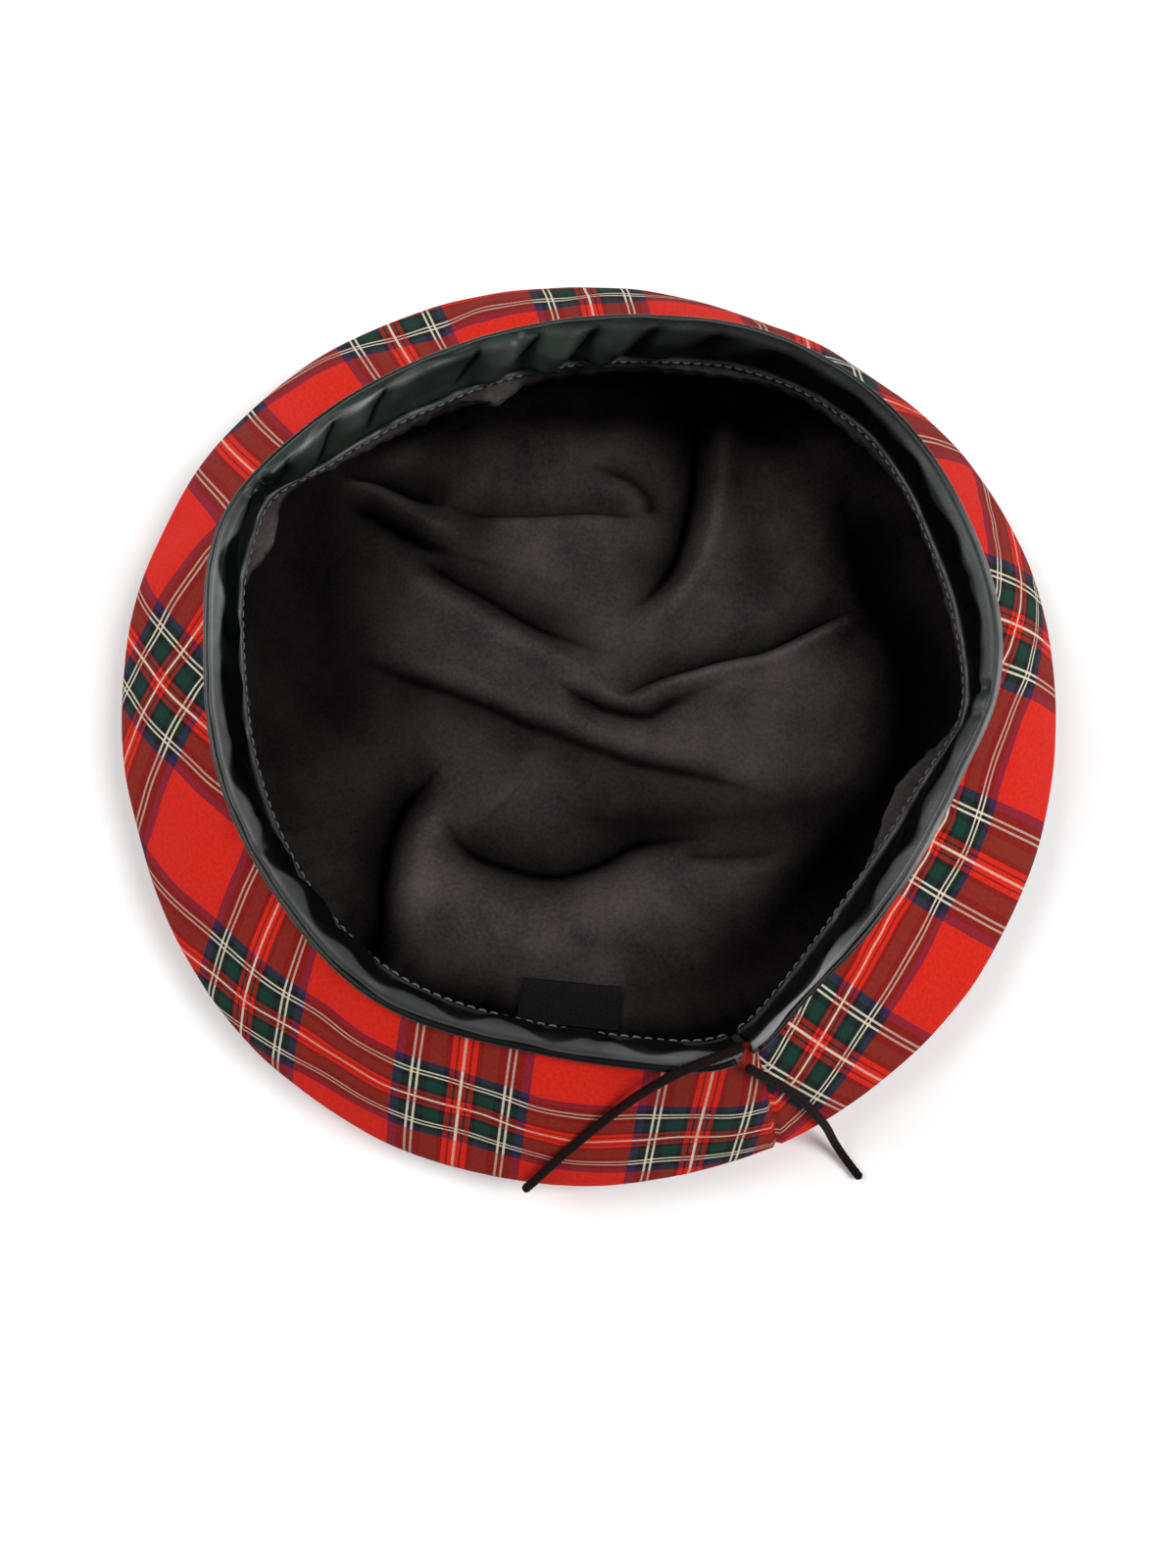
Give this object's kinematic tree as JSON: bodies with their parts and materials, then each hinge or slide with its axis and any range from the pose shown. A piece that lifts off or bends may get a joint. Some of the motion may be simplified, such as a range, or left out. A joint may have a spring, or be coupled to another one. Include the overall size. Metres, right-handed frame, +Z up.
{
  "type": "tam o shanter",
  "caption": "Round tartan tam o shanter lying upside down on its crown, with a slack black lining, a rolled leather-look headband and the free ends of a thin drawstring.",
  "frame": {"origin": "middle of the crown's flat face that the hat rests on", "axes": "+Z up through the mouth, -Y towards the back, where the headband opens"},
  "size_m": [0.27, 0.2686, 0.0665],
  "materials": {
    "tartan_cloth": "matt woollen twill in a red tartan",
    "lining_satin": "black satin with a soft sheen",
    "leather_look": "black, smooth and slightly glossy",
    "label_cloth": "plain black woven label",
    "drawstring": "dark braided cord, matt"
  },
  "bodies": {
    "root": {"crown": "tartan_cloth", "side_ring": "tartan_cloth", "lining": "lining_satin", "headband": "leather_look", "label": "label_cloth", "drawstring_left": "drawstring", "drawstring_right": "drawstring"}
  },
  "joints": []
}
